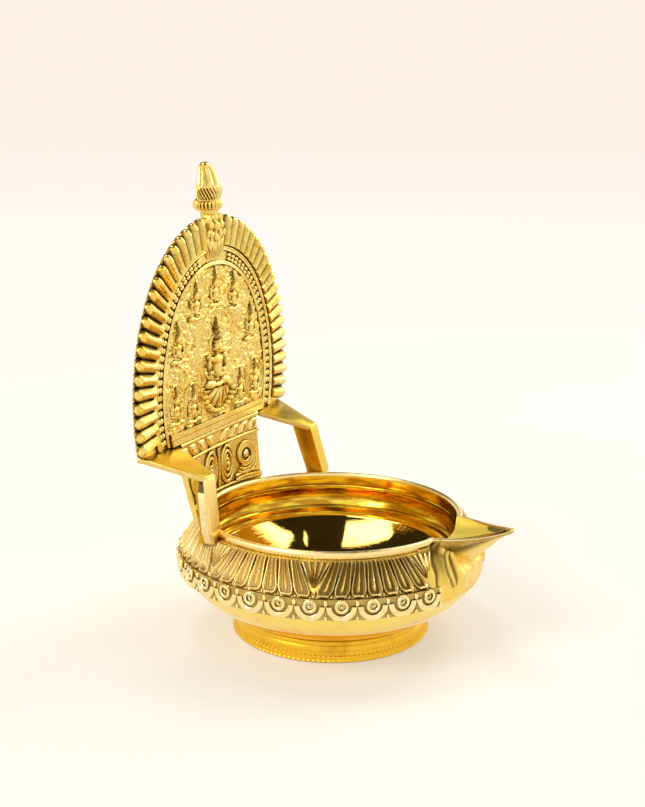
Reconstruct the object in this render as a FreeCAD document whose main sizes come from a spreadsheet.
"""Brass oil lamp: a turned bowl with a pointed wick spout, and an upright arched back plate in relief.

Millimetres. +Z is up, the origin is the centre of the foot's underside, the spout points along -Y and
the back plate stands at +Y with its relief facing the spout.
"""
import FreeCAD
import Part
import Sketcher
import math
import os

SIZES = {
    # Foot ring
    "foot_height": 6.0,
    "foot_radius": 28.2,
    "foot_taper": 0.7,
    "foot_wall": 5.7,
    "foot_step_height": 1.3,
    "foot_step_depth": 0.7,
    "foot_edge_chamfer": 0.4,
    # Bowl outside, from the foot up
    "belly_radius": 42.7,
    "belly_rise": 12.8,
    "belly_arc_radius": 36.0,
    "band_height": 5.6,
    "shoulder_run": 4.8,
    "shoulder_rise": 7.6,
    "neck_taper": 0.85,
    "neck_rise": 2.8,
    "lip_height": 1.7,
    "lip_edge_chamfer": 0.35,
    # Bowl inside, measured from the rim's outer edge and down from its top
    "rim_width": 1.85,
    "wall_bulge": 1.4,
    "wall_bulge_drop": 7.4,
    "wall_top_groove_drop": 3.9,
    "wall_low_groove_drop": 10.6,
    "wall_groove_depth": 0.35,
    "wall_groove_width": 0.8,
    "ledge_drop": 12.8,
    "ledge_width": 1.2,
    "floor_thickness": 4.5,
    # Spout: its root lies inside the rim, and the other stations follow each other; heights are from the rim
    "spout_root_inset": 3.05,
    "spout_root_half_width": 11.9,
    "spout_root_drop": 0.6,
    "spout_root_sink": 4.6,
    "spout_mid_run": 8.2,
    "spout_mid_half_width": 8.4,
    "spout_mid_drop": 0.2,
    "spout_mid_thickness": 6.7,
    "spout_fore_run": 5.8,
    "spout_fore_half_width": 5.0,
    "spout_fore_lift": 0.8,
    "spout_fore_thickness": 3.0,
    "spout_tip_run": 5.6,
    "spout_tip_half_width": 1.2,
    "spout_tip_lift": 2.2,
    "spout_tip_thickness": 1.1,
    "spout_side_height": 1.6,
    "channel_wall": 1.25,
    "channel_root_depth": 2.9,
    "channel_mid_depth": 2.3,
    "channel_fore_depth": 1.5,
    "channel_end_gap": 1.3,
    "channel_end_depth": 0.5,
    "channel_inner_run": 3.7,
    # Scalloped band round the widest part
    "band_proud": 0.7,
    "band_side_gap_angle": 23.5,
    "swag_side_gap": 0.05,
    "swag_width": 1.5,
    "swag_proud": 0.6,
    "swag_centre_drop": 2.0,
    "bead_radius": 1.15,
    "bead_seat_radius": 1.8,
    "bead_seat_proud": 0.25,
    # Petals on the shoulder
    "petal_zone_side_angle": 27.5,
    "petal_foot_gap": 0.5,
    "petal_head_gap": 0.6,
    "petal_side_gap": 0.3,
    "petal_proud": 0.8,
    # Back plate, which stands behind the rim on the stem
    "plate_setback": 0.55,
    "plate_thickness": 1.8,
    "plate_lean_angle": 0.9,
    "plate_half_width": 42.6,
    "plate_widest_rise": 12.7,
    "plate_arch_lift": 6.4,
    "plate_side_flattening": 9.0,
    # Borders of the plate, measured inwards from its outer edge
    "ray_length": 8.8,
    "ray_radius": 2.02,
    "ray_inner_radius": 1.75,
    "ray_rim_thickness": 1.0,
    "outer_moulding_width": 1.5,
    "bead_strip_width": 3.0,
    "strip_bead_radius": 0.78,
    "strip_bead_pitch": 2.05,
    "inner_moulding_width": 1.0,
    "moulding_proud": 0.9,
    "moulding_edge_chamfer": 0.3,
    "low_step_proud": 1.5,
    "high_step_proud": 1.1,
    "step_rise": 1.6,
    # Height of the relief on the panel; places and sizes across it are shares of the panel
    "deity_relief": 3.0,
    "lotus_proud": 2.2,
    "attendant_relief": 1.9,
    # Stem between the bowl and the plate
    "stem_rise": 19.5,
    "stem_top_half_width": 22.6,
    "stem_foot_half_width": 18.2,
    "stem_foot_drop": 5.8,
    "stem_thickness": 1.6,
    "stem_top_bow_radius": 400.0,
    "leaf_band_rise": 3.6,
    "leaf_width": 2.6,
    "leaf_lean": 2.0,
    "stem_relief": 0.8,
    "stem_bar_height": 1.0,
    "scroll_strand": 0.85,
    "scroll_end_gap": 0.95,
    "spiral_half_width": 3.5,
    "spiral_end_gap": 1.45,
    "stalk_width": 1.2,
    # Arms from the plate's lower corners down to the shoulder
    "arm_end_inset": 3.2,
    "web_thickness": 1.6,
    "web_drop": 4.6,
    "web_run": 13.1,
    "knee_width": 4.7,
    "leg_depth": 6.1,
    "leg_splay": 4.1,
    "leg_rake": 4.9,
    "leg_foot_inset": 5.0,
    "leg_foot_rise": 2.6,
    # Finial and the ornament under it
    "crest_half_width": 4.9,
    "crest_head_half_width": 3.7,
    "crest_drop": 11.4,
    "crest_proud": 2.4,
    "crest_head_height": 1.2,
    "collar_height": 2.6,
    "collar_half_width": 4.9,
    "collar_half_depth": 3.2,
    "hood_height": 10.7,
    "hood_half_width": 5.0,
    "hood_half_depth": 3.4,
    "hood_waist_half_width": 4.2,
    "hood_waist_half_depth": 2.9,
    "hood_tip_half_width": 0.9,
    "hood_tip_half_depth": 0.8,
    "hood_tip_back_lean": 1.0,
    "finial_knob_radius": 1.9,
    # Cutting tools run past what they cut by this much
    "overrun": 2.0,
}

SCALLOP_COUNT = 29
FAN_COUNT = 7
PETALS_PER_FAN = 7
RAY_COUNT = 43
RAYS_UNDER_CREST = 3
STEP_COUNT = 2
LEAVES_PER_SIDE = 4
CURVE_STEPS = 48
SPIRAL_TURNS = 1.75
SCROLL_TURNS = 1.5
FULL_TURN = 360.0
PETAL_HEAD_CLOSING_SHARE = 0.8
PETAL_HEAD_WIDTH_SHARE = 0.55
LEAF_START_SHARE = 0.2

# Sizes of the relief: width as a share of the panel's half width, height as a share of its height.
DEITY_SIZE_SHARES = (0.735, 0.4706)
ATTENDANT_SIZE_SHARES = (0.424, 0.2715)
LOTUS_SIZE_SHARES = (0.2827, 0.1584)
# Seats up the panel, and for each attendant its place across the panel at half its own height.
DEITY_SEAT_SHARE = 0.1923
TOP_ATTENDANT_SEAT_SHARE = 0.7217
ATTENDANT_PAIR_SHARES = ((0.546, 0.6674), (0.82, 0.4276), (0.8, 0.043), (0.4735, 0.0158))
# Rounded parts of a seated figure. Across and half width are shares of its width, up and half height of
# its height, and out and depth of its relief: across, up, out, half width, half depth, half height.
FIGURE_PART_SHARES = (
    (0.0, 0.1, 0.1, 0.34, 0.9, 0.1),
    (0.0, 0.33, 0.1, 0.17, 0.72, 0.2),
    (0.0, 0.57, 0.2, 0.1, 0.7, 0.115),
    (-0.2, 0.29, 0.1, 0.07, 0.55, 0.2),
    (0.2, 0.29, 0.1, 0.07, 0.55, 0.2),
)
# The crown is a cone: height of its foot, distance out, foot radius, tip radius, length.
CROWN_SHARES = (0.6, 0.1, 0.115, 0.02, 0.4)
# The lotus drum's sections, from its foot up: drop from the top, width.
LOTUS_LEVEL_SHARES = ((1.0, 0.62), (0.45, 0.9), (0.0, 1.0))
# The hood's middle sections: height up the hood, size, lean.
HOOD_LEVEL_SHARES = ((0.25, 1.0, 0.0), (0.667, 0.667, 0.5))

doc = FreeCAD.newDocument("oil_lamp")
nodes = []


class Size:
    """A value from the sheet, or a sum made of such values, with the formula that gives it."""

    def __init__(self, value, formula):
        self.value = float(value)
        self.formula = formula

    def combine(self, other, sign, value, swap=False):
        other_text = other.formula if isinstance(other, Size) else repr(float(other))
        pair = (other_text, self.formula) if swap else (self.formula, other_text)
        return Size(value, "(%s %s %s)" % (pair[0], sign, pair[1]))

    def __float__(self):
        return self.value

    def __add__(self, other):
        return self.combine(other, "+", self.value + float(other))

    __radd__ = __add__

    def __sub__(self, other):
        return self.combine(other, "-", self.value - float(other))

    def __rsub__(self, other):
        return self.combine(other, "-", float(other) - self.value, swap=True)

    def __mul__(self, other):
        return self.combine(other, "*", self.value * float(other))

    __rmul__ = __mul__

    def __truediv__(self, other):
        return self.combine(other, "/", self.value / float(other))

    def __neg__(self):
        return Size(-self.value, "(0 - %s)" % self.formula)


class Dimensions:
    """Every driving dimension as an attribute that is bound to its sheet cell."""

    def __init__(self, sizes):
        sheet = doc.addObject("Spreadsheet::Sheet", "Sizes")
        for row, (name, value) in enumerate(sizes.items(), 1):
            cell = "A%d" % row
            sheet.set(cell, str(value))
            sheet.setAlias(cell, name)
            setattr(self, name, Size(value, "Sizes." + name))
        doc.recompute()


d = Dimensions(SIZES)

# Bowl, from the foot up, then its inside
d.foot_top_radius = d.foot_radius - d.foot_taper
d.foot_bore_radius = d.foot_radius - d.foot_wall
d.belly_top = d.foot_height + d.belly_rise
d.shoulder_base = d.belly_top + d.band_height
d.neck_radius = d.belly_radius - d.shoulder_run
d.neck_height = d.shoulder_base + d.shoulder_rise
d.rim_radius = d.neck_radius - d.neck_taper
d.rim_height = d.neck_height + d.neck_rise
d.mouth_radius = d.rim_radius - d.rim_width
d.wall_bulge_radius = d.mouth_radius + d.wall_bulge
d.wall_bulge_height = d.rim_height - d.wall_bulge_drop
d.wall_top_groove_height = d.rim_height - d.wall_top_groove_drop
d.wall_low_groove_height = d.rim_height - d.wall_low_groove_drop
d.ledge_height = d.rim_height - d.ledge_drop
d.dish_radius = d.mouth_radius - d.ledge_width
d.dish_depth = d.ledge_height - d.foot_height - d.floor_thickness
d.dish_arc_radius = (d.dish_radius * d.dish_radius + d.dish_depth * d.dish_depth) / (2 * d.dish_depth)
# Spout
d.spout_root_reach = d.rim_radius - d.spout_root_inset
d.spout_mid_reach = d.spout_root_reach + d.spout_mid_run
d.spout_fore_reach = d.spout_mid_reach + d.spout_fore_run
d.spout_tip_reach = d.spout_fore_reach + d.spout_tip_run
d.spout_mid_height = d.rim_height - d.spout_mid_drop
d.spout_fore_height = d.rim_height + d.spout_fore_lift
d.spout_tip_height = d.rim_height + d.spout_tip_lift
d.channel_inner_reach = d.mouth_radius - d.channel_inner_run
# Band
d.band_radius = d.belly_radius + d.band_proud
d.swag_centre_height = d.shoulder_base - d.swag_centre_drop
# Back plate
d.plate_front = d.rim_radius + d.plate_setback
d.plate_base = d.rim_height + d.stem_rise
d.plate_widest_height = d.plate_base + d.plate_widest_rise
d.plate_apex = d.plate_widest_height + d.plate_half_width + d.plate_arch_lift
d.plate_side_radius = d.plate_half_width + d.plate_arch_lift + d.plate_side_flattening
# Stem and arms
d.stem_foot_height = d.rim_height - d.stem_foot_drop
d.arm_outer_offset = d.plate_half_width - d.arm_end_inset
d.leg_foot_outer_offset = d.belly_radius - d.leg_foot_inset
d.knee_outer_offset = d.leg_foot_outer_offset - d.leg_splay
d.knee_reach = d.plate_front - d.web_run
d.leg_foot_reach = d.knee_reach - d.leg_rake
d.leg_foot_height = d.shoulder_base + d.leg_foot_rise


def origin_plane(body, role):
    return next(item for item in body.Origin.OriginFeatures if item.Role == role)


def pin_point(sketch, edge, end, across, up):
    """Holds one end of an edge at a place given by two sizes, measured from the sketch's origin."""
    for kind, axis, size in (("DistanceX", -2, across), ("DistanceY", -1, up)):
        if not isinstance(size, Size):
            sketch.addConstraint(Sketcher.Constraint("PointOnObject", edge, end, axis))
            continue
        index = sketch.addConstraint(Sketcher.Constraint(kind, -1, 1, edge, end, size.value))
        name = "%s%d" % (kind, index)
        sketch.renameConstraint(index, name)
        sketch.setExpression("Constraints." + name, size.formula)


def arc_between(start, end, radius, left):
    """The shorter arc from start to end; its centre lies on the left or right of that way."""
    chord = end - start
    half = chord.Length / 2
    normal = FreeCAD.Vector(-chord.y, chord.x, 0).normalize()
    reach = math.sqrt(max(radius ** 2 - half ** 2, 0))
    centre = (start + end) / 2 + normal * (reach if left else -reach)
    first, last = (start, end) if left else (end, start)
    angles = [math.atan2(p.y - centre.y, p.x - centre.x) for p in (first, last)]
    if angles[1] < angles[0]:
        angles[1] += 2 * math.pi
    return Part.ArcOfCircle(Part.Circle(centre, FreeCAD.Vector(0, 0, 1), radius), *angles)


def draw(body, plane, corners, height=None, label="Outline"):
    """A closed sketch through the corners, each (across, up), or (across, up, radius, side) where the edge
    that ends there is an arc with its centre on that side. The sketch lies height along its normal."""
    sketch = body.newObject("Sketcher::SketchObject", label)
    sketch.AttachmentSupport = (origin_plane(body, plane), [""])
    sketch.MapMode = "FlatFace"
    if height is not None:
        sketch.AttachmentOffset = FreeCAD.Placement(FreeCAD.Vector(0, 0, height.value), FreeCAD.Rotation())
        sketch.setExpression("AttachmentOffset.Base.z", height.formula)
    points = [FreeCAD.Vector(float(c[0]), float(c[1]), 0) for c in corners]
    edges = []
    for index, corner in enumerate(corners):
        start, end = points[index - 1], points[index]
        if len(corner) == 2:
            edges.append((sketch.addGeometry(Part.LineSegment(start, end)), 1, 2))
            continue
        left = corner[3] == "left"
        edge = sketch.addGeometry(arc_between(start, end, corner[2].value, left))
        edges.append((edge, 1, 2) if left else (edge, 2, 1))
    for index, corner in enumerate(corners):
        edge, _, end = edges[index]
        following, begin, _ = edges[(index + 1) % len(corners)]
        sketch.addConstraint(Sketcher.Constraint("Coincident", edge, end, following, begin))
        pin_point(sketch, edge, end, corner[0], corner[1])
        if len(corner) == 4:
            number = sketch.addConstraint(Sketcher.Constraint("Radius", edge, corner[2].value))
            name = "Radius%d" % number
            sketch.renameConstraint(number, name)
            sketch.setExpression("Constraints." + name, corner[2].formula)
    return sketch


def new_body(name):
    return doc.addObject("PartDesign::Body", name)


def turned(body, corners, angle=FULL_TURN, kind="PartDesign::Revolution"):
    """A turned feature from an outline of (radius, height) corners."""
    sketch = draw(body, "XZ_Plane", corners)
    feature = body.newObject(kind, "Turning")
    feature.Profile = sketch
    feature.ReferenceAxis = (sketch, ["V_Axis"])
    if isinstance(angle, Size):
        feature.Angle = angle.value
        feature.setExpression("Angle", angle.formula)
    else:
        feature.Angle = angle
    return feature


def lofted(body, plane, sections, kind="PartDesign::AdditiveLoft"):
    """A loft through outlines given as (height, corners)."""
    sketches = [draw(body, plane, corners, height) for height, corners in sections]
    loft = body.newObject(kind, "Loft")
    loft.Profile = sketches[0]
    loft.Sections = sketches[1:]
    return loft


def cut(label, base, *tools):
    """One piece less the tools, kept as a chain of cuts."""
    piece = base
    for tool in tools:
        step = doc.addObject("Part::Cut", label)
        step.Base = piece
        step.Tool = tool
        piece = step
    return piece


def shaped(label, shape):
    """A piece whose shape is worked out from the sheet's values."""
    piece = doc.addObject("Part::Feature", label)
    piece.Shape = shape
    return piece


def node(piece, name):
    """Names a finished piece, which then has a file of its own."""
    piece.Label = name
    nodes.append(piece)
    return piece


def vector(x, y, z):
    return FreeCAD.Vector(float(x), float(y), float(z))


def spin(shape, angle):
    """A copy of a shape turned about the vertical axis."""
    copy = shape.copy()
    copy.rotate(vector(0, 0, 0), vector(0, 0, 1), float(angle))
    return copy


# Bowl and foot

def bowl_outside():
    """The outer profile from the underside's centre to the rim's outer top edge."""
    return [
        (0, d.foot_height),
        (d.foot_top_radius - d.foot_step_depth, d.foot_height),
        (d.belly_radius, d.belly_top, d.belly_arc_radius, "left"),
        (d.belly_radius, d.shoulder_base),
        (d.neck_radius, d.neck_height),
        (d.rim_radius, d.rim_height - d.lip_height),
        (d.rim_radius, d.rim_height - d.lip_edge_chamfer),
        (d.rim_radius - d.lip_edge_chamfer, d.rim_height),
    ]


def make_foot_ring():
    body = new_body("FootRing")
    step_floor = d.foot_height - d.foot_step_height
    turned(body, [
        (d.foot_bore_radius, 0),
        (d.foot_radius - d.foot_edge_chamfer, 0),
        (d.foot_radius, d.foot_edge_chamfer),
        (d.foot_top_radius, step_floor),
        (d.foot_top_radius - d.foot_step_depth, step_floor),
        (d.foot_top_radius - d.foot_step_depth, d.foot_height),
        (d.foot_bore_radius, d.foot_height),
    ])
    return node(body, "foot_ring")


def make_envelope():
    """The bowl as if it were solid; other pieces are cut to it so that they seat on it."""
    body = new_body("BowlEnvelope")
    turned(body, bowl_outside() + [(0, d.rim_height)])
    return body


def spout_sections():
    """Half width, top height and lower height at the four stations of the spout, from root to tip."""
    return [
        (d.spout_root_reach, d.spout_root_half_width, d.rim_height - d.spout_root_drop,
         d.shoulder_base - d.spout_root_sink),
        (d.spout_mid_reach, d.spout_mid_half_width, d.spout_mid_height,
         d.spout_mid_height - d.spout_mid_thickness),
        (d.spout_fore_reach, d.spout_fore_half_width, d.spout_fore_height,
         d.spout_fore_height - d.spout_fore_thickness),
        (d.spout_tip_reach, d.spout_tip_half_width, d.spout_tip_height,
         d.spout_tip_height - d.spout_tip_thickness),
    ]


def make_channel():
    """The wick channel as a solid, which both the bowl and the spout lose."""
    body = new_body("Channel")
    lid = d.overrun
    stations = [
        (d.channel_inner_reach, d.spout_root_half_width - d.channel_wall, d.rim_height, d.channel_root_depth),
        (d.spout_mid_reach, d.spout_mid_half_width - d.channel_wall, d.spout_mid_height, d.channel_mid_depth),
        (d.spout_fore_reach, d.spout_fore_half_width - d.channel_wall, d.spout_fore_height,
         d.channel_fore_depth),
        (d.spout_tip_reach - d.channel_end_gap, d.spout_tip_half_width / 2, d.spout_tip_height,
         d.channel_end_depth),
    ]
    lofted(body, "XZ_Plane", [
        (reach, [
            (-half, top + lid),
            (-half, top),
            (-half / 2, top - depth),
            (half / 2, top - depth),
            (half, top),
            (half, top + lid),
        ])
        for reach, half, top, depth in stations
    ])
    return body


def make_bowl(channel):
    body = new_body("Bowl")
    turned(body, bowl_outside() + [
        (d.mouth_radius + d.lip_edge_chamfer, d.rim_height),
        (d.mouth_radius, d.rim_height - d.lip_edge_chamfer),
        (d.mouth_radius, d.wall_top_groove_height),
        (d.wall_bulge_radius, d.wall_bulge_height),
        (d.mouth_radius, d.wall_low_groove_height),
        (d.mouth_radius, d.ledge_height),
        (d.dish_radius, d.ledge_height),
        (0, d.ledge_height - d.dish_depth, d.dish_arc_radius, "right"),
    ])
    for height in (d.wall_top_groove_height, d.wall_low_groove_height):
        turned(body, [
            (d.mouth_radius - d.wall_groove_depth, height - d.wall_groove_width / 2),
            (d.mouth_radius + d.wall_groove_depth, height - d.wall_groove_width / 2),
            (d.mouth_radius + d.wall_groove_depth, height + d.wall_groove_width / 2),
            (d.mouth_radius - d.wall_groove_depth, height + d.wall_groove_width / 2),
        ], kind="PartDesign::Groove")
    return node(cut("Bowl less channel", body, channel), "bowl")


def make_spout(envelope, channel):
    body = new_body("SpoutBlock")
    lofted(body, "XZ_Plane", [
        (reach, [
            (-half, top),
            (-half, top - d.spout_side_height * half / d.spout_root_half_width),
            (0, keel),
            (half, top - d.spout_side_height * half / d.spout_root_half_width),
            (half, top),
        ])
        for reach, half, top, keel in spout_sections()
    ])
    return node(cut("Spout less bowl", body, envelope, channel), "spout")


# Band and petals

def band_ring(body, outer):
    turned(body, [
        (d.belly_radius, d.belly_top),
        (outer, d.belly_top),
        (outer, d.shoulder_base),
        (d.belly_radius, d.shoulder_base),
    ], angle=FULL_TURN - 2 * d.band_side_gap_angle)
    turn = -90 + d.band_side_gap_angle
    body.Placement = FreeCAD.Placement(FreeCAD.Vector(), FreeCAD.Rotation(0, 0, 0))
    body.setExpression("Placement.Rotation.Angle", turn.formula)
    return body


def make_scallop_band():
    return node(band_ring(new_body("ScallopBand"), d.band_radius), "scallop_band")


def scallop_pitch():
    return (FULL_TURN - 2 * float(d.band_side_gap_angle)) / SCALLOP_COUNT


def scallop_angles():
    """Where each scallop's centre stands, counted round the back from one side of the spout."""
    first = -90 + float(d.band_side_gap_angle)
    return [first + scallop_pitch() * (index + 0.5) for index in range(SCALLOP_COUNT)]


def make_scallops():
    """Hanging half rings, and over each a bead on a round seat."""
    root = vector(d.belly_radius, 0, d.swag_centre_height)
    outward = vector(1, 0, 0)
    radius = float(d.band_radius) * math.radians(scallop_pitch()) / 2 - float(d.swag_side_gap)
    depth = float(d.band_radius + d.swag_proud - d.belly_radius)
    disc = Part.makeCylinder(radius, depth, root, outward)
    hole = Part.makeCylinder(radius - float(d.swag_width), depth, root, outward)
    upper = Part.makeBox(depth, 2 * radius, radius, root - vector(0, radius, 0))
    swag = disc.cut([hole, upper, doc.getObject("ScallopBand").Shape, doc.getObject("BowlEnvelope").Shape])
    seat_face = d.band_radius + d.bead_seat_proud
    seat = Part.makeCylinder(float(d.bead_seat_radius), float(seat_face - d.belly_radius), root, outward)
    ball_part = Part.makeSphere(float(d.bead_radius), vector(seat_face, 0, d.swag_centre_height))
    bead = ball_part.fuse(seat).cut(Part.makeCylinder(float(d.band_radius), float(d.rim_height)))
    angles = scallop_angles()
    node(shaped("Scallops", Part.Compound([spin(swag, a) for a in angles])), "scallops")
    node(shaped("ScallopBeads", Part.Compound([spin(bead, a) for a in angles])), "scallop_beads")


def petal(lean_share, blockers):
    """One drop-shaped petal on the shoulder cone, standing over the +X axis. lean_share runs from -1 at one
    side of its fan to 1 at the other and shifts the head towards the fan's middle."""
    low = vector(d.belly_radius, 0, d.shoulder_base)
    high = vector(d.neck_radius, 0, d.neck_height)
    slope = (high - low).normalize()
    length = (high - low).Length
    outward = vector(slope.z, 0, -slope.x)
    pitch = petal_pitch()
    foot_half = float(d.belly_radius) * math.radians(pitch) / 2 - float(d.petal_side_gap) / 2
    head_half = foot_half * PETAL_HEAD_WIDTH_SHARE
    fan_half = pitch * (PETALS_PER_FAN - 1) / 2
    shift = -math.radians(fan_half * lean_share * (1 - PETAL_HEAD_CLOSING_SHARE)) * float(d.neck_radius)
    foot_gap, head_gap = float(d.petal_foot_gap), float(d.petal_head_gap)
    middle = foot_gap + foot_half

    def at(along, across):
        return low + slope * along + vector(0, across, 0) - outward * float(d.petal_proud)

    corners = {
        "left": at(middle, foot_half),
        "toe": at(foot_gap, 0),
        "right": at(middle, -foot_half),
        "head_right": at(length - head_gap, shift - head_half),
        "head_left": at(length - head_gap, shift + head_half),
    }
    toe = Part.Arc(corners["left"], corners["toe"], corners["right"]).toShape()
    sides = Part.makePolygon([corners[name] for name in ("right", "head_right", "head_left", "left")])
    face = Part.Face(Part.Wire([toe] + sides.Edges))
    solid = face.extrude(outward * (2 * float(d.petal_proud)))
    return solid.cut(blockers)


def petal_pitch():
    return (FULL_TURN - 2 * float(d.petal_zone_side_angle)) / (FAN_COUNT * PETALS_PER_FAN)


def make_petal_fans(neighbours):
    """Seven fans of seven petals round the shoulder, from one side of the spout to the other."""
    envelope = doc.getObject("BowlEnvelope").Shape
    start = -90 + float(d.petal_zone_side_angle)
    pitch = petal_pitch()
    middle = (PETALS_PER_FAN - 1) / 2
    shapes = [petal((place - middle) / middle, [envelope]) for place in range(PETALS_PER_FAN)]
    tools = [piece.Shape for piece in neighbours]
    for fan in range(FAN_COUNT):
        petals = []
        for place, shape in enumerate(shapes):
            angle = start + pitch * (fan * PETALS_PER_FAN + place + 0.5)
            copy = spin(shape, angle)
            near = [tool for tool in tools if tool.BoundBox.intersect(copy.BoundBox)]
            if near:
                copy = copy.cut(near)
            petals.extend(copy.Solids)
        node(shaped("PetalFan%d" % (fan + 1), Part.Compound(petals)), "petal_fan_%d" % (fan + 1))


# Back plate

class PlateEdge:
    """The plate's horseshoe outline in the plane y = 0, moved inwards by an inset: on each side an arc
    from the base corner to the join, then one round top."""

    def __init__(self, inset):
        side_x = d.plate_half_width - d.plate_side_radius
        rest = d.plate_side_radius - d.plate_apex
        top = side_x * side_x + d.plate_widest_height * d.plate_widest_height - rest * rest
        arch_height = top / (2 * (d.plate_widest_height + rest))
        self.side_centre = (float(side_x), float(d.plate_widest_height))
        self.side_radius = float(d.plate_side_radius - inset)
        self.top_centre = (0.0, float(arch_height))
        self.top_radius = float(d.plate_apex - arch_height - inset)
        self.foot_angle = math.asin(float(d.plate_base - d.plate_widest_height) / self.side_radius)
        self.join_angle = math.atan2(self.top_centre[1] - self.side_centre[1], -self.side_centre[0])
        self.top_run = self.top_radius * (math.pi / 2 - self.join_angle)
        self.run = self.top_run + self.side_radius * (self.join_angle - self.foot_angle)
        self.corner = self.at(self.side_centre, self.side_radius, self.foot_angle, 1)

    def at(self, centre, radius, angle, side):
        return vector(side * (centre[0] + radius * math.cos(angle)), 0, centre[1] + radius * math.sin(angle))

    def half_at(self, height):
        """Half the outline's width at a height."""
        on_side = height < self.at(self.side_centre, self.side_radius, self.join_angle, 1).z
        centre, radius = ((self.side_centre, self.side_radius) if on_side
                          else (self.top_centre, self.top_radius))
        return centre[0] + math.sqrt(max(radius ** 2 - (height - centre[1]) ** 2, 0))

    def wire(self):
        def side_point(angle, side):
            return self.at(self.side_centre, self.side_radius, angle, side)

        waist_angle = (self.foot_angle + self.join_angle) / 2
        apex = self.at(self.top_centre, self.top_radius, math.pi / 2, 1)
        right, left = [[side_point(angle, side) for angle in (self.foot_angle, waist_angle, self.join_angle)]
                       for side in (1, -1)]
        return Part.Wire([
            Part.Arc(*right).toShape(),
            Part.Arc(right[2], apex, left[2]).toShape(),
            Part.Arc(*reversed(left)).toShape(),
            Part.makeLine(left[0], right[0]),
        ])

    def places(self, count):
        """Points spaced evenly along the outline with their outward directions and numbers; the middle
        one, number 0, is at the apex."""
        found = []
        for number in range(-(count // 2), count // 2 + 1):
            side = 1 if number >= 0 else -1
            run = abs(number) * 2 * self.run / count
            if run <= self.top_run:
                centre, radius = self.top_centre, self.top_radius
                angle = math.pi / 2 - run / radius
            else:
                centre, radius = self.side_centre, self.side_radius
                angle = self.join_angle - (run - self.top_run) / radius
            out = vector(side * math.cos(angle), 0, math.sin(angle))
            found.append((self.at(centre, radius, angle, side), out, number))
        return found


def plate_slab(inset, front, depth):
    """The outline's solid, from the height front off the plate's face back through depth."""
    slab = Part.Face(PlateEdge(inset).wire()).extrude(vector(0, depth, 0))
    slab.translate(vector(0, d.plate_front - front, 0))
    return slab


def leaned(shape):
    """A shape tilted back with the plate about the plate's lower rear edge."""
    copy = shape.copy()
    pivot = vector(0, d.plate_front + d.plate_thickness, d.plate_base)
    copy.rotate(pivot, vector(1, 0, 0), -float(d.plate_lean_angle))
    return copy


def border_insets():
    """Inward distances of the borders' inner edges: rays, outer moulding, bead strip, inner moulding."""
    outer = d.ray_length + d.outer_moulding_width
    strip = outer + d.bead_strip_width
    return d.ray_length, outer, strip, strip + d.inner_moulding_width


def make_back_plate():
    slab = plate_slab(d.ray_length, 0, d.plate_thickness)
    return node(shaped("BackPlate", leaned(slab)), "back_plate")


def ray(point, out):
    """A round bar with a ball end at the point, thinner where it starts, in full round."""
    radius, inner_radius = float(d.ray_radius), float(d.ray_inner_radius)
    head = point - out * radius + vector(0, d.plate_front, 0)
    foot = head - out * (float(d.ray_length) - radius)
    forward = vector(0, -1, 0)
    tip = head + out * radius
    shoulder = head + forward * radius
    root = foot + forward * inner_radius
    cap = Part.Arc(shoulder, head + (out + forward).normalize() * radius, tip).toShape()
    outline = Part.Wire([Part.makeLine(foot, root), Part.makeLine(root, shoulder), cap,
                         Part.makeLine(tip, foot)])
    return Part.Face(outline).revolve(foot, out, FULL_TURN)


def make_ray_border():
    """Rounded rays on a thin ring round the plate; the crest's place at the top has none."""
    ring = plate_slab(d.ray_radius, 0, d.ray_rim_thickness)
    bars = [ray(point, out) for point, out, number in PlateEdge(0).places(RAY_COUNT)
            if abs(number) > RAYS_UNDER_CREST // 2]
    border = ring.multiFuse(bars)
    panel = plate_slab(d.ray_length, d.overrun, d.plate_thickness + 2 * d.overrun)
    wide, tall = float(4 * d.plate_half_width), float(2 * d.plate_apex)
    behind = Part.makeBox(wide, float(2 * d.ray_radius), tall,
                          vector(-wide / 2, d.plate_front + d.ray_rim_thickness, 0))
    below = Part.makeBox(wide, float(4 * d.ray_radius), float(d.plate_base),
                         vector(-wide / 2, d.plate_front - 2 * d.ray_radius, 0))
    return node(shaped("RayBorder", leaned(border.cut([panel, behind, below]))), "ray_border")


def moulding(outer_inset, inner_inset):
    """A raised line that follows the outline between two insets, chamfered along its front."""
    edge = float(d.moulding_edge_chamfer)
    line = plate_slab(outer_inset, d.moulding_proud, d.moulding_proud)
    line = line.cut(plate_slab(inner_inset, d.moulding_proud, d.moulding_proud))
    face_depth = float(d.plate_front - d.moulding_proud)
    front = [e for e in line.Edges
             if abs(e.CenterOfMass.y - face_depth) < edge / 10 and isinstance(e.Curve, Part.Circle)]
    return leaned(line.makeChamfer(edge, front))


def make_mouldings():
    rays, outer, strip, inner = border_insets()
    node(shaped("OuterMoulding", moulding(rays, outer)), "outer_moulding")
    node(shaped("InnerMoulding", moulding(strip, inner)), "inner_moulding")


def make_bead_strip():
    """A row of half-round beads between the mouldings, except behind the crest ornament."""
    _, outer, strip, _ = border_insets()
    radius = float(d.strip_bead_radius)
    edge = PlateEdge((outer + strip) / 2)
    count = 2 * int(edge.run / float(d.strip_bead_pitch)) + 1
    beads = []
    for point, _, _ in edge.places(count):
        if point.z - radius < float(d.plate_base) or abs(point.x) < float(d.crest_half_width) + radius:
            continue
        centre = point + vector(0, d.plate_front, 0)
        beads.append(leaned(Part.makeSphere(radius, centre, vector(0, -1, 0), 0, 90, FULL_TURN)))
    return node(shaped("BeadStrip", Part.Compound(beads)), "bead_strip")


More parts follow.
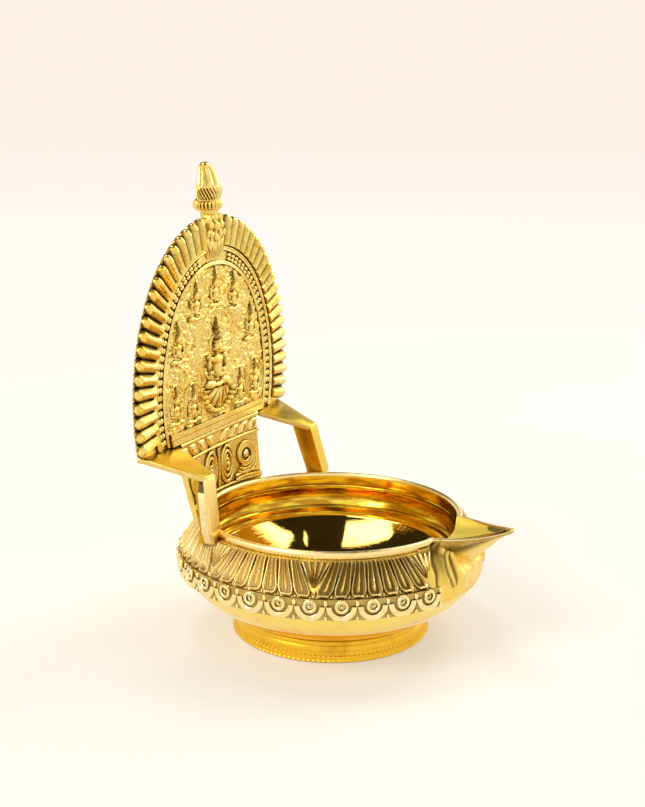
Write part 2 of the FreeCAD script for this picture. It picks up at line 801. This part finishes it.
def make_panel_steps():
    """Two straight ledges along the foot of the panel, between the inner moulding's ends."""
    reach = PlateEdge(border_insets()[3]).corner.x - float(d.moulding_edge_chamfer)
    ledges = []
    for index, proud in enumerate((d.low_step_proud, d.high_step_proud)):
        low = d.plate_base + index * d.step_rise
        ledges.append(Part.makeBox(2 * reach, float(proud), float(d.step_rise),
                                   vector(-reach, d.plate_front - proud, low)))
    return node(shaped("PanelSteps", leaned(ledges[0].fuse(ledges[1]).removeSplitter())), "panel_steps")


# Seated figures in relief, each on the plate's face

class Panel:
    """The relief's field, from the upper step to the inner moulding."""

    def __init__(self):
        self.edge = PlateEdge(border_insets()[3])
        self.half_width = self.edge.side_centre[0] + self.edge.side_radius
        self.foot = float(d.plate_base + STEP_COUNT * d.step_rise)
        self.height = self.edge.top_centre[1] + self.edge.top_radius - self.foot

    def size(self, shares):
        """Width and height from their shares of the panel's."""
        return self.half_width * shares[0], self.height * shares[1]

    def up(self, share):
        return self.foot + self.height * share


def ball(centre, half_sizes):
    """An ellipsoid from a unit sphere."""
    grow = FreeCAD.Matrix()
    grow.scale(*half_sizes)
    grow.move(centre)
    return Part.makeSphere(1).transformGeometry(grow)


def seated_figure(offset, seat, size, relief):
    """A cross-legged figure with a tall crown."""
    width, height = size

    def at(across, up, out):
        return vector(offset + width * across, d.plate_front - relief * out, seat + height * up)

    limbs = [ball(at(across, up, out), (width * half_width, relief * half_depth, height * half_height))
             for across, up, out, half_width, half_depth, half_height in FIGURE_PART_SHARES]
    crown_up, crown_out, foot, tip, length = CROWN_SHARES
    crown = Part.makeCone(width * foot, width * tip, height * length, at(0, crown_up, crown_out))
    figure = crown.multiFuse(limbs)
    behind = Part.makeBox(2 * width, 4 * relief, 3 * height,
                          vector(offset - width, d.plate_front, seat - height))
    return leaned(figure.cut(behind))


def make_figures():
    panel = Panel()
    deity = seated_figure(0, panel.up(DEITY_SEAT_SHARE), panel.size(DEITY_SIZE_SHARES), float(d.deity_relief))
    node(shaped("CentralFigure", deity), "central_figure")
    size = panel.size(ATTENDANT_SIZE_SHARES)
    places = [(0, panel.up(TOP_ATTENDANT_SEAT_SHARE))]
    for across_share, seat_share in ATTENDANT_PAIR_SHARES:
        seat = panel.up(seat_share)
        offset = panel.edge.half_at(seat + size[1] / 2) * across_share
        places.extend([(-offset, seat), (offset, seat)])
    group = [seated_figure(x, z, size, float(d.attendant_relief)) for x, z in places]
    node(shaped("Attendants", Part.Compound(group)), "attendant_figures")


def make_lotus_seat():
    """A half drum of upturned petals under the central figure."""
    panel = Panel()
    half, height = panel.size(LOTUS_SIZE_SHARES)
    proud = float(d.lotus_proud)
    top = panel.up(DEITY_SEAT_SHARE)
    drum = Part.makeLoft([
        Part.Wire(Part.Ellipse(vector(0, d.plate_front, top - height * drop), half * width,
                               proud * width).toShape())
        for drop, width in LOTUS_LEVEL_SHARES
    ], True)
    behind = Part.makeBox(4 * half, 2 * proud, 4 * height, vector(-2 * half, d.plate_front, top - 2 * height))
    return node(shaped("LotusSeat", leaned(drum.cut(behind))), "lotus_seat")


# Stem, a bowed panel between the plate and the bowl

def stem_wire(height, half, radius, front, thickness):
    """A bowed slab section: the front arc has its crown at front, and the slab lies behind it."""
    centre = front - radius
    fore, rear = [[vector(x, centre + math.sqrt((radius + depth) ** 2 - x ** 2), height)
                   for x in (-half, 0, half)] for depth in (0, thickness)]
    return Part.Wire([
        Part.Arc(*fore).toShape(), Part.makeLine(fore[2], rear[2]),
        Part.Arc(*reversed(rear)).toShape(), Part.makeLine(rear[0], fore[0]),
    ])


def stem_slab(front_gap, depth):
    """The stem's bowed solid: its front moved forwards by front_gap, through depth."""
    sections = [
        stem_wire(float(height), float(half), float(radius - front_gap), float(crown - front_gap),
                  float(depth))
        for height, half, radius, crown in (
            (d.stem_foot_height, d.stem_foot_half_width, d.rim_radius, d.rim_radius),
            (d.plate_base, d.stem_top_half_width, d.stem_top_bow_radius, d.plate_front))
    ]
    return Part.makeLoft(sections, True, True)


def make_stem(envelope):
    slab = stem_slab(0, d.stem_thickness)
    return node(shaped("Stem", slab.cut(envelope.Shape)), "stem")


def flat_strip(points, width):
    """A strip of one width along a path in the plane y = 0, cut square at its ends."""
    sides = [[], []]
    for index, point in enumerate(points):
        ahead = points[min(index + 1, len(points) - 1)] - points[max(index - 1, 0)]
        normal = FreeCAD.Vector(-ahead.z, 0, ahead.x).normalize()
        sides[0].append(point + normal * (width / 2))
        sides[1].append(point - normal * (width / 2))
    left, right = Part.BSplineCurve(), Part.BSplineCurve()
    left.interpolate(sides[0])
    right.interpolate(sides[1])
    return Part.Face(Part.Wire([
        left.toShape(), Part.makeLine(sides[0][-1], sides[1][-1]), right.toShape(),
        Part.makeLine(sides[1][0], sides[0][0]),
    ]))


def spiral(centre, half_width, half_height, strand, turns, start_angle):
    """A flat strip wound inwards from an oval of the given half sizes to an eye of one strand."""
    outer = half_width - strand / 2
    tall = half_height / half_width
    points = []
    for index in range(CURVE_STEPS + 1):
        share = index / CURVE_STEPS
        radius = outer + (strand - outer) * share
        turn = math.radians(start_angle) + 2 * math.pi * turns * share
        points.append(centre + vector(radius * math.cos(turn), 0, radius * math.sin(turn) * tall))
    return flat_strip(points, strand)


def on_stem(faces):
    """Flat faces in the plane y = 0 as relief of one height on the stem's bowed front."""
    far = vector(0, d.plate_front + d.overrun, 0)
    skin = stem_slab(d.stem_relief, d.stem_relief)
    block = doc.getObject("Stem").Shape
    solids = []
    for face in faces:
        solids.extend(face.extrude(far).common(skin).cut(block).Solids)
    return Part.Compound(solids)


def flat_face(corners):
    points = [vector(x, 0, z) for x, z in corners]
    return Part.Face(Part.makePolygon(points + points[:1]))


def rectangle(half_width, low, high):
    return flat_face([(-half_width, low), (half_width, low), (half_width, high), (-half_width, high)])


def stem_levels():
    """Heights of the stem's rows: leaf band top and foot, foot of the bar under it, foot bar's top."""
    leaf_top = d.plate_base - d.step_rise
    leaf_foot = leaf_top - d.leaf_band_rise
    return leaf_top, leaf_foot, leaf_foot - d.stem_bar_height, d.rim_height + d.stem_bar_height


def make_stem_mouldings():
    leaf_top, leaf_foot, bar_foot, foot_bar_top = stem_levels()
    half = d.stem_top_half_width
    faces = [rectangle(half, leaf_top, d.plate_base), rectangle(half, bar_foot, leaf_foot),
             rectangle(half, d.rim_height, foot_bar_top)]
    return node(shaped("StemMouldings", on_stem(faces)), "stem_mouldings")


def make_leaf_band():
    """Slanted leaves, mirrored about the middle of the stem."""
    leaf_top, leaf_foot = stem_levels()[:2]
    step = (d.stem_top_half_width - d.leaf_lean) / LEAVES_PER_SIDE
    faces = []
    for side in (-1, 1):
        for index in range(LEAVES_PER_SIDE):
            near = step * (index + LEAF_START_SHARE)
            far = near + d.leaf_width
            faces.append(flat_face([(side * near, leaf_foot), (side * far, leaf_foot),
                                    (side * (far + d.leaf_lean), leaf_top),
                                    (side * (near + d.leaf_lean), leaf_top)]))
    return node(shaped("LeafBand", on_stem(faces)), "leaf_band")


def make_scrolls():
    """A central stalk, and on each side an upright spiral and a larger scroll."""
    bar_foot, foot_bar_top = stem_levels()[2:]
    middle = (bar_foot + foot_bar_top) / 2
    half_row = (bar_foot - foot_bar_top) / 2
    strand = float(d.scroll_strand)
    spiral_x = d.stalk_width / 2 + d.spiral_half_width + d.scroll_strand / 2
    panel_reach = (d.stem_top_half_width + d.stem_foot_half_width) / 2
    scroll_half_width = (panel_reach - spiral_x - d.spiral_half_width) / 2
    scroll_x = panel_reach - scroll_half_width
    faces = [rectangle(d.stalk_width / 2, foot_bar_top, bar_foot)]
    for side in (-1, 1):
        faces.append(spiral(vector(side * spiral_x, 0, middle), float(d.spiral_half_width),
                            float(half_row - d.spiral_end_gap), strand, side * SPIRAL_TURNS, 90))
        faces.append(spiral(vector(side * scroll_x, 0, middle), float(scroll_half_width),
                            float(half_row - d.scroll_end_gap), strand, -side * SCROLL_TURNS, -90))
    return node(shaped("Scrolls", on_stem(faces)), "scrolls")


# Arms

def ruled(sections):
    """A solid with flat sides through closed outlines of (x, y, z) corners."""
    wires = []
    for corners in sections:
        points = [vector(*corner) for corner in corners]
        wires.append(Part.makePolygon(points + points[:1]))
    return Part.makeLoft(wires, True, True)


def make_arm(side, name):
    """A sloping web from under the plate's corner to the knee, and a leg down to the bowl's shoulder."""
    knee_inner = d.knee_outer_offset - d.knee_width
    foot_inner = d.leg_foot_outer_offset - d.knee_width
    knee_top = d.plate_base - d.web_drop
    fore = d.knee_reach - d.leg_depth / 2

    def upright(y, top, near, far):
        low = top - d.web_thickness
        return [(side * near, y, low), (side * far, y, low), (side * far, y, top), (side * near, y, top)]

    def level(z, near, far, reach):
        half = d.leg_depth / 2
        return [(side * near, reach - half, z), (side * far, reach - half, z),
                (side * far, reach + half, z), (side * near, reach + half, z)]

    at_face = upright(d.plate_front, d.plate_base, d.stem_top_half_width, d.arm_outer_offset)
    root = ruled([upright(d.plate_front + d.plate_thickness, d.plate_base, d.stem_top_half_width,
                          d.arm_outer_offset), at_face])
    web = ruled([at_face, upright(fore, knee_top, knee_inner, d.knee_outer_offset)])
    leg = ruled([level(knee_top - d.web_thickness / 2, knee_inner, d.knee_outer_offset, d.knee_reach),
                 level(d.leg_foot_height, foot_inner, d.leg_foot_outer_offset, d.leg_foot_reach)])
    arm = root.multiFuse([web, leg]).removeSplitter()
    arm = arm.cut([doc.getObject("BowlEnvelope").Shape, doc.getObject("Stem").Shape])
    return node(shaped(name, arm), name)


# Finial

def ellipse_wire(height, half_width, half_depth, back=0.0):
    centre = vector(0, d.plate_front + d.plate_thickness / 2 + back, height)
    return Part.Wire(Part.Ellipse(centre, float(half_width), float(half_depth)).toShape())


def make_crest(neighbours):
    """The ornament that covers the rays' meeting at the apex and carries the finial."""
    half, head_half = d.crest_half_width, d.crest_head_half_width
    top = d.plate_apex + d.crest_head_height
    foot = d.plate_apex - d.crest_drop
    shoulder = foot + half
    outline = Part.Wire([
        Part.Arc(vector(-half, 0, shoulder), vector(0, 0, foot), vector(half, 0, shoulder)).toShape(),
        Part.makeLine(vector(half, 0, shoulder), vector(head_half, 0, top)),
        Part.makeLine(vector(head_half, 0, top), vector(-head_half, 0, top)),
        Part.makeLine(vector(-head_half, 0, top), vector(-half, 0, shoulder)),
    ])
    crest = Part.Face(outline).extrude(vector(0, d.crest_proud + d.plate_thickness, 0))
    crest.translate(vector(0, d.plate_front - d.crest_proud, 0))
    pieces = leaned(crest).cut([piece.Shape for piece in neighbours])
    return node(shaped("Crest", max(pieces.Solids, key=lambda solid: solid.Volume)), "crest_ornament")


def make_finial(crest):
    collar_foot = d.plate_apex + d.crest_head_height
    collar_top = collar_foot + d.collar_height
    collar_middle = collar_foot + d.collar_height / 2
    waist = (d.hood_waist_half_width, d.hood_waist_half_depth)
    collar = leaned(Part.makeLoft([
        ellipse_wire(collar_foot, *waist),
        ellipse_wire(collar_middle, d.collar_half_width, d.collar_half_depth),
        ellipse_wire(collar_top, *waist),
    ], True))
    sections = [ellipse_wire(collar_top, *waist)]
    for height, size, lean in HOOD_LEVEL_SHARES:
        sections.append(ellipse_wire(collar_top + height * d.hood_height, size * d.hood_half_width,
                                     size * d.hood_half_depth, lean * d.hood_tip_back_lean))
    sections.append(ellipse_wire(collar_top + d.hood_height, d.hood_tip_half_width, d.hood_tip_half_depth,
                                 d.hood_tip_back_lean))
    hood = leaned(Part.makeLoft(sections, True))
    knob_centre = vector(0, d.plate_front + d.plate_thickness / 2 + d.collar_half_depth, collar_middle)
    knob = leaned(Part.makeSphere(float(d.finial_knob_radius), knob_centre))
    node(shaped("Collar", collar), "finial_collar")
    node(shaped("Hood", hood), "finial_hood")
    node(shaped("Knob", knob.cut([collar, hood, crest.Shape])), "finial_knob")


def check_document():
    """Stops when any object failed or any piece has a bad shape."""
    faults = [item.Label for item in doc.Objects if {"Invalid", "Error"} & set(item.State)]
    for piece in nodes:
        shape = piece.Shape
        if shape.isNull() or not shape.isValid() or not shape.Solids:
            faults.append(piece.Label)
    if faults:
        raise RuntimeError("Failed pieces: " + ", ".join(faults))


def export_nodes():
    os.makedirs("parts", exist_ok=True)
    for piece in nodes:
        piece.Shape.exportStep("parts/%s.step" % piece.Label)
        box = piece.Shape.BoundBox
        print("%-20s %3d solids %9.1f mm3  x %6.1f..%6.1f y %6.1f..%6.1f z %6.1f..%6.1f" % (
            piece.Label, len(piece.Shape.Solids), piece.Shape.Volume,
            box.XMin, box.XMax, box.YMin, box.YMax, box.ZMin, box.ZMax))


def main():
    make_foot_ring()
    envelope = make_envelope()
    channel = make_channel()
    make_bowl(channel)
    spout = make_spout(envelope, channel)
    make_scallop_band()
    doc.recompute()
    make_scallops()
    plate = make_back_plate()
    border = make_ray_border()
    make_mouldings()
    make_bead_strip()
    make_panel_steps()
    make_lotus_seat()
    make_figures()
    stem = make_stem(envelope)
    make_stem_mouldings()
    make_leaf_band()
    make_scrolls()
    arms = [make_arm(-1, "arm_left"), make_arm(1, "arm_right")]
    mouldings = [piece for piece in nodes if piece.Label.endswith("_moulding")]
    make_finial(make_crest([plate, border] + mouldings))
    make_petal_fans([spout, stem] + arms)
    doc.recompute()
    check_document()
    export_nodes()


main()
